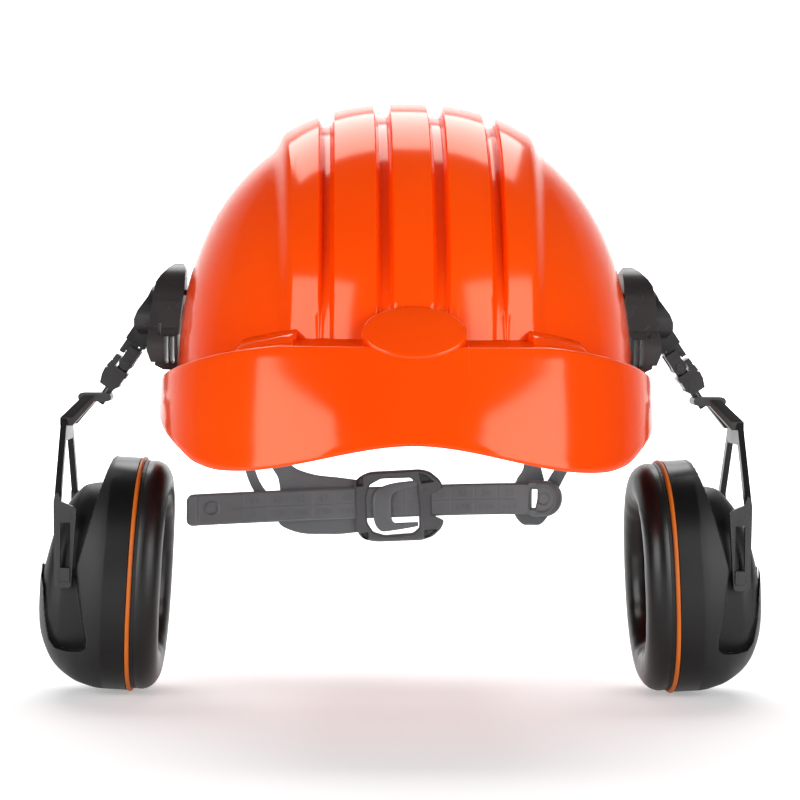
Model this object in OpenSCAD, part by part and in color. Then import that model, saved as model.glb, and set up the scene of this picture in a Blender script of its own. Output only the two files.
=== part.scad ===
// Industrial safety helmet carrying a pair of hinged earmuffs.
// The front of the helmet faces -Y, +X is the wearer's left and +Z is up.
// The origin lies on the middle plane, level with the shell's side rim, between the two adaptors.

/* [Shell] */
// Half width of the dome at its foot
dome_half_w = 102; // [98:0.5:104]
// From the origin to the front of the dome's foot
dome_front = 116; // [110:1:120]
// From the origin to the back of the dome's foot
dome_back = 122; // [116:1:128]
// Height of the plain dome above its foot
dome_height = 120.5; // [110:0.5:124]
// Height of the raised bands over the plain dome
rib_height = 5.5; // [3:0.5:7]
// Wall thickness of the shell
shell_wall = 2.6; // [2.2:0.1:3.2]
// Reach of the peak's upper edge in front of the origin
shelf_reach = 129; // [125:0.5:133]
// Reach of the peak's lower edge in front of the origin
peak_reach = 142; // [138:0.5:150]

/* [Harness] */
// Half width of the headband
band_half_w = 79; // [74:1:82]
// From the origin to the front of the headband
band_front = 93; // [88:1:96]
// From the origin to the back of the headband
band_back = 98; // [92:1:102]
// Height of the headband
band_height = 24; // [18:1:30]
// Depth of the nape strap
strap_h = 15; // [12:0.5:18]
// Height of the nape strap's centre line
strap_z = -68; // [-74:1:-62]

/* [Earmuff arms] */
// From the origin back to the plane through the middle of each earmuff
muff_y = 8; // [4:1:12]
// Lean of the hinged link from the vertical
link_lean = 34; // [30:1:38]
// How far each fork is turned so that the cushions look a little forwards
toe = 2; // [0:0.1:6]
// Half the distance between the two feet of a fork
fork_spread = 31; // [31:0.5:33]

/* [Cups] */
// Half height of a cup at its rim
cup_half_h = 53; // [50:0.5:55]
// Half width of a cup at its rim
cup_half_w = 41; // [39:0.5:43]
// Depth of a cup from its rim to its outermost point
cup_depth = 43.2; // [40:0.2:46]
// Wall thickness of a cup
cup_wall = 2.4; // [2:0.1:3]
// Lean of a cup, its top towards the helmet
cup_lean = 3; // [0:0.1:6]
// Thickness of a cushion
cushion_t = 10.5; // [9:0.5:14]

/* [Hidden] */

fit = 0.05;                 // radial clearance of a pin that turns in its bore
gap = 0.4;                  // clearance between moving faces
squareness = 2.3;           // exponent of every superellipse: 2 is an ellipse
foot_z = -4;                // height of the dome's foot
eps = 0.01;

// --- curves shared by the moulded shapes -------------------------------------------------

// Signed power, for superellipses
function spow(v, e) = sign(v) * pow(abs(v), e);
// How much of its full size a superellipse keeps at a fraction f of its half height
function keep(f) = pow(max(0, 1 - pow(min(1, abs(f)), squareness)), 1 / squareness);
// A value that eases from 0 to 1 as f goes from 0 to 1
function ease(f) = let (c = min(1, max(0, f))) c * c * (3 - 2 * c);
// Plan point at angle a of an oval with its own front and back reach; the front is -Y
function oval(a, half_w, front, back, n = squareness) =
    [half_w * spow(cos(a), 2 / n), (sin(a) < 0 ? front : back) * spow(sin(a), 2 / n)];
// Distance from the origin to the same oval in direction a
function reach(a, half_w, front, back) =
    pow(pow(abs(cos(a)) / half_w, squareness) + pow(abs(sin(a)) / (sin(a) < 0 ? front : back), squareness),
        -1 / squareness);
// Faces that skin a grid of rings, each of n points, closed round and capped at both ends
function tube_faces(rings, n) = concat(
    [for (r = [0 : rings - 2], k = [0 : n - 1])
        [r * n + k, r * n + (k + 1) % n, (r + 1) * n + (k + 1) % n, (r + 1) * n + k]],
    [[for (k = [n - 1 : -1 : 0]) k], [for (k = [0 : n - 1]) (rings - 1) * n + k]]);
// Faces that skin a grid of rings whose last ring meets the first, like a tyre
function loop_faces(rings, n) =
    [for (r = [0 : rings - 1], k = [0 : n - 1])
        [r * n + k, r * n + (k + 1) % n, ((r + 1) % rings) * n + (k + 1) % n, ((r + 1) % rings) * n + k]];

// --- shell ---------------------------------------------------------------------------------

rib_edges = [8.9, 14.5, 33.6, 38.6, 58];    // band and groove edges, out from the middle
rib_blend = 1.6;                           // width over which an edge rises
outer_blend = 6;                           // width over which the outermost edge falls
skirt_n = 2.7;                             // exponent of the peak's and the skirt's ovals
skirt_half_w = 109.6;
dome_stations = [0, 4.5, 8.1, 9.7, 13.7, 15.3, 20, 27, 32.8, 34.4, 37.8, 39.4, 48, 55, 58, 61, 67, 74, 80, 86,
    91, 95, 98.2, 100.3, 101.6];
dome_steps = 30;
inner_stations = [0, 15, 30, 45, 58, 69, 79, 87, 93, 97, 99];

// Height of the ledge's outer edge, and of the skirt's lower edge, by the distance y from the origin
function ledge_z(y) = -1.5 + 16.5 * pow(max(0, min(1, (-y - 20) / 101)), 1.6);
function hem_z(y, x) = y < -118
    ? -36.5 + 11.8 * ease((78 - abs(x)) / 78)
    : lookup(y, [[-118, -36.5], [-104, -34.5], [-88, -29], [-60, -22], [-34, -16], [-4, -8], [60, -8], [130, -13]]);

// 1 on a raised band and 0 in a groove or beside the bands
function rib_at(x) = let (u = abs(x), e = rib_edges, b = rib_blend)
    1 - ease((u - e[0]) / b + 0.5) + ease((u - e[1]) / b + 0.5) - ease((u - e[2]) / b + 0.5)
    + ease((u - e[3]) / b + 0.5) - ease((u - e[4]) / outer_blend + 0.5);

// Where a lengthwise slice of the dome starts in front, so that it ends in the ledge
function slice_start(x, half_w, height) = let (
        k = keep(x / half_w),
        y = -121 * keep(x / 107.5),
        z = ledge_z(y) - 4 - foot_z)
    k < 0.02 ? 0 : asin(max(0, min(1, z / (height * k))));

// Point of the dome at x and at angle t over the top, from the front at 0 to the back at 180
function dome_point(x, t, half_w, front, back, height, rib) = let (
        k = keep(x / half_w),
        y = -(t < 90 ? front : back) * k * cos(t),
        z = height * k * max(0, sin(t)),
        n = [y / pow(front, 2), z / pow(height, 2)],
        fade = t < 90 ? 0.25 + 0.75 * ease((z - 20) / 42) : ease((z - 2) / 22),
        lift = rib * rib_at(x) * fade / max(1e-6, norm(n)))
    [x, y + n[0] * lift, foot_z + z + n[1] * lift];

function dome_row(x, half_w, front, back, height, rib) = let (t0 = rib > 0 ? slice_start(x, half_w, height) : 0)
    [for (i = [0 : dome_steps]) dome_point(x, t0 + (180 - t0) * i / dome_steps, half_w, front, back, height, rib)];

function both_sides(list) = concat([for (i = [len(list) - 1 : -1 : 1]) -list[i]], list);

// One solid skin: lengthwise rows from side to side, closed underneath
module dome_solid(stations, half_w, front, back, height, rib) {
    rows = [for (x = both_sides(stations)) dome_row(x, half_w, front, back, height, rib)];
    polyhedron([for (row = rows, p = row) p], tube_faces(len(rows), dome_steps + 1), convexity = 8);
}

skirt_steps = 80;
// Profile of the skirt at plan angle a: ledge, outer wall, hem and inner wall
function skirt_ring(a) = let (
        root = oval(a, dome_half_w - 1.5, dome_front - 1.5, dome_back - 1.5),
        top = oval(a, skirt_half_w - 0.7, shelf_reach, 127, skirt_n),
        low = oval(a, skirt_half_w, peak_reach, 131, skirt_n),
        y = top[1],
        out = low / norm(low),
        zt = ledge_z(y),
        rise = 3.4 * ease((-y - 20) / 90) - 0.6,
        zb = hem_z(low[1], low[0]))
    [
        [root[0], root[1], zt + rise], [top[0] - out[0] * 1.2, top[1] - out[1] * 1.2, zt],
        [top[0], top[1], zt - 0.8], [low[0], low[1], zb + 0.9], [low[0] - out[0] * 1.2, low[1] - out[1] * 1.2, zb],
        [low[0] - out[0] * shell_wall, low[1] - out[1] * shell_wall, zb + 0.9],
        [top[0] - out[0] * shell_wall, top[1] - out[1] * shell_wall, zt - 4],
        [root[0], root[1], zt - 4.4]
    ];

module skirt() {
    rings = [for (i = [0 : skirt_steps - 1]) skirt_ring(-360 * i / skirt_steps)];
    polyhedron([for (ring = rings, p = ring) p], loop_faces(skirt_steps, 8), convexity = 8);
}

// Raised block on the ledge beside the bands
module ledge_block() {
    hull() {
        translate([49, -104, 8]) cylinder(r = 2.4, h = 14, $fn = 24);
        translate([51, -116, 8]) cylinder(r = 1.6, h = 11, $fn = 24);
        translate([70, -93, 5]) cylinder(r = 2.4, h = 12, $fn = 24);
        translate([74, -101, 4]) cylinder(r = 1.6, h = 9, $fn = 24);
        translate([81, -88, 2]) cylinder(r = 2, h = 5, $fn = 24);
    }
}

// Blank oval boss where a badge would sit
module front_boss() {
    translate([0, -124, 21.5]) rotate([48, 0, 0]) hull() {
        translate([0, 0, -13]) scale([1, 0.65, 1]) cylinder(r = 21.5, h = 11.8, $fn = 48);
        translate([0, 0, -1.2]) scale([1, 0.63, 1]) cylinder(r = 20.5, h = 1.4, $fn = 48);
    }
}

clip_angles = [-125, -55, 55, 125];        // directions of the four harness clips
socket_inset = 9;                          // from the dome's outside to a clip socket's face
function socket_face(a) = reach(a, dome_half_w, dome_front, dome_back) - socket_inset;
function ledge_at(a) = ledge_z(reach(a, dome_half_w, dome_front, dome_back) * sin(a));
// Boss inside the shell that takes a harness clip
module clip_socket(a) {
    rotate([0, 0, a]) translate([socket_face(a), 0, ledge_at(a)]) hull() {
        translate([0, -10, 2]) cube([2, 20, 12]);
        translate([4.6, -11, 0]) cube([1.2, 22, 16]);
    }
}

// Through slot in the ledge for the adaptor's blade
module blade_slot() { translate([102.2, muff_y - 12.5, -12]) cube([2.75, 25, 14]); }

module shell() {
    color("orangered") union() {
        difference() {
            union() {
                dome_solid(dome_stations, dome_half_w, dome_front, dome_back, dome_height, rib_height);
                for (s = [0, 1]) mirror([s, 0, 0]) ledge_block();
                front_boss();
            }
            translate([0, 0, -eps]) dome_solid(inner_stations, dome_half_w - shell_wall, dome_front - shell_wall,
                dome_back - shell_wall, dome_height - shell_wall, 0);
        }
        difference() {
            skirt();
            for (s = [0, 1]) mirror([s, 0, 0]) blade_slot();
        }
        for (a = clip_angles) clip_socket(a);
        for (s = [0, 1]) mirror([s, 0, 0]) slot_cheek();
    }
}

// Guides under the ledge on both sides of the adaptor's slot
module slot_cheek() {
    for (y = [muff_y - 15.5, muff_y + 12.7]) hull() {
        translate([101, y, -9]) cube([4.6, 2.8, 3]);
        translate([101, y, -6]) cube([6, 2.8, 3.5]);
    }
}

// --- harness -------------------------------------------------------------------------------

band_t = 1.6;
band_z = -3;

// Flat oval ring, thickness t inwards from the given outline
module oval_ring(half_w, front, back, t, h, from = 0, to = 360) {
    n = 96;
    outer = [for (i = [0 : n]) oval(from + (to - from) * i / n, half_w, front, back)];
    inner = [for (i = [n : -1 : 0]) oval(from + (to - from) * i / n, half_w - t, front - t, back - t)];
    linear_extrude(h) polygon(to - from >= 360
        ? concat([for (i = [0 : n - 1]) outer[i]], [for (i = [1 : n]) inner[i]])
        : concat(outer, inner), to - from >= 360 ? [[for (i = [0 : n - 1]) i], [for (i = [n : 2 * n - 1]) i]] : undef);
}

module headband() {
    color("dimgray") translate([0, 0, band_z]) difference() {
        oval_ring(band_half_w, band_front, band_back, band_t, band_height);
        for (s = [-1, 1]) translate([s * 66, 62, 12]) rotate([0, 90, 0]) cylinder(r = 2.6, h = 30, center = true, $fn = 32);
    }
}

// Soft pad along the front of the headband
module sweatband() {
    color("darkslategray") translate([0, 0, band_z - 2])
        oval_ring(band_half_w - band_t - 0.2, band_front - band_t - 0.2, band_back, 3.2, band_height + 4, 208, 332);
}

cradle_w = 20;
cradle_t = 1.2;
cradle_z = 17;
cradle_rise = 70;
// Where a strap's end stands on its clip, just outside the headband
function cradle_reach(a) = reach(a, band_half_w, band_front, band_back) + 3;
// Strap over the crown from the clip in direction a to the one opposite, raised by lift where the straps cross
module cradle_strap(a, lift) {
    n = 24;
    function at(t, inset) = [(cos(t) < 0 ? cradle_reach(a + 180) : cradle_reach(a)) * spow(cos(t), 0.8)
        - inset * sign(cos(t)), cradle_z + (cradle_rise + lift - inset) * pow(max(0, sin(t)), 0.8)];
    over = [for (i = [0 : n]) at(180 * i / n, 0)];
    under = [for (i = [n : -1 : 0]) at(180 * i / n, cradle_t)];
    rotate([0, 0, a]) rotate([90, 0, 0]) translate([0, 0, -cradle_w / 2])
        linear_extrude(cradle_w) polygon(concat(over, under));
}

module cradle_strap_a() { color("black") cradle_strap(55, 0); }
module cradle_strap_b() { color("black") cradle_strap(125, 1.6); }

// Four plastic clips: each hangs on a boss of the shell and holds the headband and a strap end
module harness_clips() {
    color("dimgray") for (a = clip_angles) rotate([0, 0, a]) {
        inner = reach(a, band_half_w, band_front, band_back);
        translate([socket_face(a) - 2, -9, ledge_at(a) > 4 ? 8 : 3]) cube([2, 18, 15]);
        translate([inner - 0.3, -10, cradle_z - 3]) cube([socket_face(a) - 1 - inner + 0.3, 20, 3]);
    }
}

// --- nape strap, buckle and arms -----------------------------------------------------------

strap_y = 90;
strap_t = 2;
tail_end = -100.5;
knuckle_x = 62;
flat_x = 22;
strap_slope = 2.35;
strap_rise = 2.1;
left_r = 89;
right_r = 350;

// Plan point of the strap's middle at x: flat through the buckle, and the free tail is almost straight
function strap_point(x) = [x, strap_y - pow(max(0, abs(x) - flat_x), 2) / (2 * (x > 0 ? left_r : right_r))];
// Outline of a flat band that follows the strap, from x0 to x1, between two offsets
function strap_outline(x0, x1, low, high) = let (n = 20) concat(
    [for (i = [0 : n]) strap_point(x0 + (x1 - x0) * i / n) + [0, low]],
    [for (i = [n : -1 : 0]) strap_point(x0 + (x1 - x0) * i / n) + [0, high]]);

module strap_slab(x0, x1, low, high, z0, z1) {
    translate([0, 0, z0]) linear_extrude(z1 - z0) polygon(strap_outline(x0, x1, low, high));
}

// Tips the strap and what it carries: the free tail hangs lower than the looped end
module nape_tilt() { translate([-2.8, 0, strap_rise]) rotate([0, -strap_slope, 0]) children(); }

module nape_strap() {
    y_end = strap_point(tail_end)[1];
    color("dimgray") nape_tilt() difference() {
        union() {
            strap_slab(tail_end, knuckle_x, -strap_t / 2, strap_t / 2, strap_z - strap_h / 2, strap_z + strap_h / 2);
            translate([tail_end, y_end, strap_z]) rotate([90, 0, 0])
                cylinder(r = strap_h / 2, h = strap_t, center = true, $fn = 48);
            translate([tail_end + 3, y_end - 1.5, strap_z]) rotate([90, 0, 0])
                cylinder(r = strap_h / 2 - 1, h = 1.6, center = true, $fn = 48);
        }
        translate([tail_end + 12, y_end - 3.5, strap_z]) rotate([90, 0, 0]) cylinder(r = 3.1, h = 4.2, center = true, $fn = 48);
    }
}

buckle_w = 42;
buckle_h = 34;
// Frame of the buckle: two uprights that the strap passes behind and before, and four corners
module nape_buckle() {
    color("dimgray") nape_tilt() translate([0, strap_y, strap_z]) rotate([90, 0, 0]) difference() {
        translate([0, 0, -2.6]) linear_extrude(5.2) difference() {
            hull() for (x = [-1, 1], z = [-1, 1])
                translate([x * (buckle_w / 2 - 4), z * (buckle_h / 2 - 4)]) circle(r = 4, $fn = 24);
            translate([-12.5, -12.5]) square([25, 25]);
        }
        translate([0, 0, 0]) cube([buckle_w + 20, strap_h + 0.8, strap_t + 0.6], center = true);
    }
}

module buckle_tongue() {
    color("gray") nape_tilt() translate([0, strap_y - 1.3, strap_z]) rotate([90, 0, 0]) linear_extrude(1.2) difference() {
        union() {
            translate([-9, -11.5]) square([6, 23]);
            translate([-9, 6.5]) square([21.5, 5]);
            translate([-9, -11.5]) square([21.5, 5]);
        }
        translate([-6, 0]) circle(r = 1.6, $fn = 24);
    }
}

// Thin upright slab of an arm: place, height, width
module arm_slab(p) { translate([p[0], p[1], p[2]]) cube([p[4], 2, p[3]], center = true); }
module arm_run(points) {
    for (i = [0 : len(points) - 2]) hull() {
        arm_slab(points[i]);
        arm_slab(points[i + 1]);
    }
}

wide_arm = [[-21.4, 92.8, -68, 28, 2.4], [-36, 92.8, -68, 28, 2.4], [-46, 92.6, -66, 28, 3], [-53, 92.3, -60, 26, 6],
    [-58, 91, -50, 12, 8], [-61, 84, -34, 4, 8], [-59, 79, -18, 3, 8], [-55.8, 76.6, -2, 10, 7]];
thin_arm = [[-50, 93, -70, 8, 3], [-60, 92.6, -67.5, 6, 4], [-67, 91.6, -61, 5, 4], [-71, 87, -52, 4, 4.4],
    [-72.6, 79, -42, 4, 4.6], [-71, 71, -28, 4, 4.8], [-68, 66.2, -13, 5, 5], [-65.6, 64, 1, 8, 2.4]];

module nape_arm_right() { color("dimgray") union() { arm_run(wide_arm); arm_run(thin_arm); } }

lobe_arm = [[58, 86.2, -66, 18, 4], [64, 85.2, -66, 20, 5], [70, 83.4, -64, 18, 6], [75, 79.4, -57, 9, 7],
    [78, 76, -48, 5, 6.4], [77, 71.4, -36, 4, 6.4], [72, 66.8, -16, 5, 6], [65.6, 64, 1, 8, 2.4]];
inner_arm = [[58, 86.2, -64, 12, 5], [60, 85.2, -56, 8, 9], [64, 83.2, -49, 4, 8], [63, 82.2, -36, 4, 6],
    [58.6, 80.4, -18, 4, 5], [55, 77.2, -2, 9, 3]];

module nape_arm_left() { color("dimgray") union() { arm_run(lobe_arm); arm_run(inner_arm); } }

// D-shaped end that the strap is looped through
module nape_knuckle() {
    p = strap_point(knuckle_x);
    color("dimgray") nape_tilt() translate([p[0] + 2.2, p[1], strap_z]) rotate([0, 0, -21]) rotate([90, 0, 0]) difference() {
        translate([0, 0, -2.4]) linear_extrude(4.8) difference() {
            hull() {
                translate([-4, -8]) square([4, 17]);
                translate([4, 0]) circle(r = 8, $fn = 48);
            }
            translate([-1.5, -4.5]) square([4, 9]);
        }
        translate([-6, -1.5, 0]) cube([6, strap_h + 0.8, strap_t + 0.8], center = true);
    }
}

// Press studs that hold the arms to the headband
module nape_studs() {
    color("black") for (s = [-1, 1]) translate([s * 66, 62, 9]) rotate([0, 90, 0])
        cylinder(r = 2.5, h = 8, center = true, $fn = 32);
}

// --- earmuff arms: everything below is drawn for the wearer's left and mirrored for the right -------

module on_left() { children(); }
module on_right() { mirror([1, 0, 0]) children(); }

pivot_z = 27;            // height of the swivel's axis
swivel_x = 112.6;        // plane on which the swivel turns
hub_r = 4;
knuckle = [126, 3.5];    // x and z of the swing hinge
knuckle_r = 3.2;
pin_r = 1.6;

// Moves the children to a frame on the swing hinge whose -Z runs down the link
module link_frame() { translate([knuckle[0], muff_y, knuckle[1]]) rotate([0, -link_lean, 0]) children(); }

// Side outline of the adaptor, seen along X
module adaptor_outline() {
    translate([0, 14]) circle(r = 19, $fn = 64);
    translate([0, 32]) circle(r = 17, $fn = 64);
    translate([-18, 12]) square([36, 20]);
}

// Hood-shaped body that stands in the shell's slot on its blade
module adaptor() {
    profile = [[99, 46], [100.4, 49], [103.4, 49.6], [107, 47], [110.4, 43.4], [112.2, 40.6], [113.2, 35], [114.6, 24.4],
        [116, 13.4], [116, 9.6], [114, 3.8], [108.6, 1], [102.4, 0.8], [102.4, 17], [101.9, 17], [100.9, 26], [99.2, 37]];
    color("black") difference() {
        union() {
            intersection() {
                translate([0, muff_y + 20, 0]) rotate([90, 0, 0]) linear_extrude(40) polygon(profile);
                translate([90, muff_y, 0]) rotate([90, 0, 90]) linear_extrude(40) adaptor_outline();
            }
            translate([102.4, muff_y - 11.5, -8]) cube([2.3, 23, 9]);
            translate([98.2, muff_y - 4, 34.4]) cube([4, 8, 2.6]);
        }
        for (x = [103.6, 106.3]) translate([x, muff_y - 25, 4]) cube([1.85, 50, 12]);
        translate([swivel_x, muff_y, pivot_z]) rotate([0, 90, 0]) cylinder(r = cover_r + 0.8, h = 20, $fn = 96);
        translate([swivel_x - 0.2, muff_y - 16.4, -6]) cube([20, 32.8, 6 + pivot_z]);
        translate([95, muff_y, pivot_z]) rotate([0, 90, 0]) cylinder(r = hub_r + fit, h = 40, $fn = 64);
        translate([109.6, muff_y - 25, 17]) cube([1.3, 50, 5]);
        tab_pocket();
    }
}

// Opening in the adaptor's outer face for the lock tab
module tab_pocket() { translate([110.6, muff_y - 5.4, 3]) cube([2.6, 10.8, 11.4]); }

// Springy tab that is squeezed to free the adaptor from the shell
module lock_tab() {
    color("black") {
        translate([110.9, muff_y - 5, 3.4]) cube([1.2, 10, 11]);
    }
}

cover_r = 12.4;
// Round cover that turns on the adaptor, swollen towards its foot, with the ears that carry the arm
module swivel() {
    cover = [[swivel_x + gap, 39.4], [114.4, 38], [116, 34], [120.6, 27.6], [122.2, 23.8], [122.2, 20], [119.6, 16.6],
        [swivel_x + gap, 14.6]];
    color("black") difference() {
        union() {
            intersection() {
                translate([0, muff_y + 20, 0]) rotate([90, 0, 0]) linear_extrude(40) polygon(cover);
                translate([swivel_x, muff_y, pivot_z]) rotate([0, 90, 0]) cylinder(r = cover_r, h = 12, $fn = 96);
            }
            translate([104, muff_y, pivot_z]) rotate([0, 90, 0]) cylinder(r = hub_r, h = 12, $fn = 64);
            link_frame() translate([-3.4, -7, 9.5]) cube([10, 14, 8.5]);
        }
        translate([95, muff_y, pivot_z]) rotate([0, 90, 0]) cylinder(r = 1.2, h = 24, $fn = 24);
        link_frame() translate([-2.6, -5, 4]) cube([8.6, 10, 11.5]);
    }
}

// Short arm fixed in the swivel, forked round the knuckle
module arm() {
    color("black") link_frame() difference() {
        union() {
            translate([-2.6, -5, 5]) cube([6.4, 10, 10.5]);
            translate([3.6, -5, 3]) cube([2.4, 10, 12.5]);
            for (s = [-1, 1]) translate([0, s * 5, 0]) rotate([90, 0, 0])
                cylinder(r = knuckle_r, h = 3.6, center = true, $fn = 64);
            for (y = [-6.8, 3.2]) translate([-3, y, 0]) cube([6, 3.6, 7.6]);
        }
        translate([-6, -3.2, -5]) cube([12, 6.4, 9]);
        rotate([90, 0, 0]) cylinder(r = pin_r, h = 40, center = true, $fn = 48);
        translate([-1.2, -8, 8.5]) cube([1, 16, 5]);
    }
}

module knuckle_pin() {
    color("silver") link_frame() rotate([90, 0, 0]) cylinder(r = pin_r, h = 15, center = true, $fn = 48);
}

// Lower half of the knuckle, with a notched back and the socket of the stem
link_outline = [[-3.7, -3.8], [3.6, -3.8], [3.6, 1.2], [6, 1.2], [6.9, -6.5], [6.5, -10], [4.9, -14], [-1.6, -14],
    [-3.7, -10.5]];
module link() {
    color("black") link_frame() difference() {
        union() {
            rotate([90, 0, 0]) cylinder(r = knuckle_r - 0.2, h = 6, center = true, $fn = 64);
            translate([-2.6, -2.9, -5]) cube([5.2, 5.8, 5]);
            translate([0, 5.6, 0]) rotate([90, 0, 0]) linear_extrude(11.2) polygon(link_outline);
        }
        rotate([90, 0, 0]) cylinder(r = pin_r + fit, h = 40, center = true, $fn = 48);
        for (z = [-2.6, -6.6]) translate([6, -6, z]) cube([2, 12, 0.8]);
        translate([-4.4, -6, -10.4]) cube([1.2, 12, 4]);
        translate([0, 0, -14]) cylinder(r = 2, h = 5, $fn = 48);
    }
}

// Round steel stem: its foot is the pin that the fork turns on
stem_foot = -22;
module stem() {
    color("dimgray") link_frame() translate([0, 0, stem_foot]) cylinder(r = 2, h = -9 - stem_foot, $fn = 48);
}

// --- fork, pegs ----------------------------------------------------------------------------

head_x = 140;            // middle of the fork's head plate
head_z = -12;
elbow_x = 151.2;
elbow_z = -23;
foot_top = -56;
foot_end = -96;
peg_x = 149.7;
peg_z = -90;
slot_w = 4.4;

// Turns the children about a vertical line through the fork's head
module toed() { translate([head_x, muff_y, 0]) rotate([0, 0, toe]) translate([-head_x, -muff_y, 0]) children(); }

module leg_bar(p, q, w) {
    hull() {
        translate(p) cube([2.8, w, 3], center = true);
        translate(q) cube([2.8, w, 3], center = true);
    }
}

// Foot of a leg, a tapered plate with the slot that a peg slides in
module fork_foot() {
    outline = [[155, foot_top - 2], [154.4, foot_top + 2], [152.8, foot_top + 2.5], [151.6, foot_top - 1.5],
        [146.4, foot_top - 3.6], [144.8, foot_top - 5.2], [147, foot_end + 1], [148, foot_end], [153.6, foot_end], [154.6, foot_end + 1]];
    difference() {
        translate([0, 1.3, 0]) rotate([90, 0, 0]) linear_extrude(2.6) polygon(outline);
        translate([peg_x - slot_w / 2, -5, peg_z - 3.2]) cube([slot_w, 10, 26.4]);
    }
}

module fork() {
    color("black") difference() {
        toed() translate([0, muff_y, 0]) {
            translate([head_x - 5.5, -6, head_z - 2]) cube([11, 12, 4]);
            for (s = [-1, 1]) {
                translate([head_x + s * 5.5, 0, head_z]) rotate([90, 0, 0]) cylinder(r = 2, h = 12, center = true, $fn = 48);
                leg_bar([elbow_x + 2, s * 9, elbow_z], [153.2, s * (fork_spread - 0.2), foot_top - 1], 3);
                hull() {
                    translate([head_x + 2.5, s * 3.5, head_z - 0.6]) cube([5, 5, 2.8], center = true);
                    translate([elbow_x + 1, s * 8, elbow_z]) cube([5.6, 5, 3.6], center = true);
                }
                translate([0, s * fork_spread, 0]) fork_foot();
            }
            hull() {
                translate([elbow_x + 1.6, 0, elbow_z - 1]) cube([2, 18, 3], center = true);
                translate([elbow_x + 1.6, 0, elbow_z - 7]) cube([2, 22, 3], center = true);
            }
        }
        link_frame() translate([0, 0, -24]) cylinder(r = 2 + fit, h = 14, $fn = 48);
    }
}

// Two sliding pegs that carry the cup: a square block in the foot's slot and a round journal in the cup
module pegs() {
    color("black") toed() translate([peg_x, muff_y, peg_z]) for (s = [-1, 1]) {
        translate([-slot_w / 2 + 0.1, s * fork_spread - 2.2, -3]) cube([slot_w - 0.2, 4.4, 6]);
        translate([0, s * 26.5, 0]) rotate([90, 0, 0]) cylinder(r = 2, h = 6, center = true, $fn = 48);
    }
}

// --- cup and what it holds -----------------------------------------------------------------

ring_at = [121.4, -92.7];
cup_segments = 36;
// Section of the outer body by the distance from its rim: top, bottom and half width
cup_top = [[0, 1], [12, 1], [22, 0.97], [30, 0.88], [35, 0.76], [38.5, 0.59], [41.5, 0.34], [43.2, 0.1]];
cup_low = [[0, -1], [12, -1], [22, -0.962], [30, -0.88], [35, -0.79], [38.5, -0.68], [41.5, -0.54], [43.2, -0.38]];
cup_wide = [[0, 1], [10, 1], [22, 0.95], [30, 0.87], [35, 0.76], [38.5, 0.59], [41.5, 0.34], [43.2, 0.06]];
// The same for the inset body between the feet
core_top = [[0, 0.77], [16, 0.77], [24, 0.745], [31, 0.61], [36, 0.42], [40, 0.12], [43.2, -0.25]];
core_low = [[0, -0.98], [12, -0.98], [22, -0.945], [30, -0.865], [35, -0.775], [38.5, -0.665], [41.5, -0.52], [43.2, -0.36]];
core_wide = [[0, 0.68], [30, 0.68], [35, 0.64], [38.5, 0.53], [41.5, 0.32], [43.2, 0.05]];
cup_rings = [0, 6, 12, 16, 20, 25, 30, 35, 38.5, 41.5, 43.2];
hollow_rings = [0, 12, 16, 20, 25, 30, 35, 38.5, 40.4];

// Moves the children to the cup's own frame: +X out of the cup, origin at the middle of its rim
module cup_frame() {
    toed() translate([ring_at[0], muff_y, ring_at[1]]) rotate([0, -cup_lean, 0]) children();
}

function cup_ring(t, wall, tables) = let (
        s = t * 43.2 / cup_depth,
        hi = cup_half_h * lookup(s, tables[0]) - wall,
        lo = cup_half_h * lookup(s, tables[1]) + wall,
        wide = cup_half_w * lookup(s, tables[2]) - wall)
    [for (k = [0 : cup_segments - 1]) let (a = 360 * k / cup_segments)
        [t, -wide * spow(cos(a), 2 / squareness), (hi + lo) / 2 + (hi - lo) / 2 * spow(sin(a), 2 / squareness)]];

module cup_solid(rings, wall, shift, tables) {
    polyhedron([for (t = rings, p = cup_ring(t, wall, tables)) p + [shift, 0, 0]], tube_faces(len(rings), cup_segments),
        convexity = 6);
}

// The step that the fork's feet move in, grown by more
module foot_recess(more) {
    translate([0, 60, 0]) rotate([90, 0, 0]) linear_extrude(120) offset(delta = more)
        polygon([[11.4, 60], [23, 6], [18.8, -18], [17.3, -28], [19.5, -32], [26, -33], [34, -31], [37.6, -18],
            [39.2, -5], [50, 20], [50, 70], [11.4, 70]]);
}

// The stepped form of the cup, inset by wall
module cup_form(rings, wall, shift) {
    difference() {
        cup_solid(rings, wall, shift, [cup_top, cup_low, cup_wide]);
        foot_recess(wall);
    }
    cup_solid(rings, wall, shift, [core_top, core_low, core_wide]);
}

module cup() {
    color([0.09, 0.09, 0.1]) difference() {
        cup_frame() difference() {
            cup_form(cup_rings, 0, 0);
            cup_form(hollow_rings, cup_wall, -eps);
        }
        toed() translate([peg_x, muff_y, peg_z]) rotate([90, 0, 0]) cylinder(r = 2 + fit, h = 64, center = true, $fn = 48);
    }
}

// Sheet of sound-absorbing foam inside the cup
module foam() {
    color("dimgray") cup_frame() translate([8, 0, -4]) rotate([90, 0, 90]) linear_extrude(7)
        polygon([for (k = [0 : 35]) [24 * cos(10 * k), 37 * sin(10 * k)]]);
}

module cup_oval(half_w, half_h) {
    polygon([for (k = [0 : 71]) [half_w * spow(cos(5 * k), 2 / squareness), half_h * spow(sin(5 * k), 2 / squareness)]]);
}

// Flat ring cut to the cup's outline, from distance x0 to x1
module cup_washer(x0, x1, half_w, half_h, hole_w, hole_h) {
    cup_frame() translate([x0, 0, 0]) rotate([90, 0, 90]) linear_extrude(x1 - x0) difference() {
        cup_oval(half_w, half_h);
        cup_oval(hole_w, hole_h);
    }
}

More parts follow.
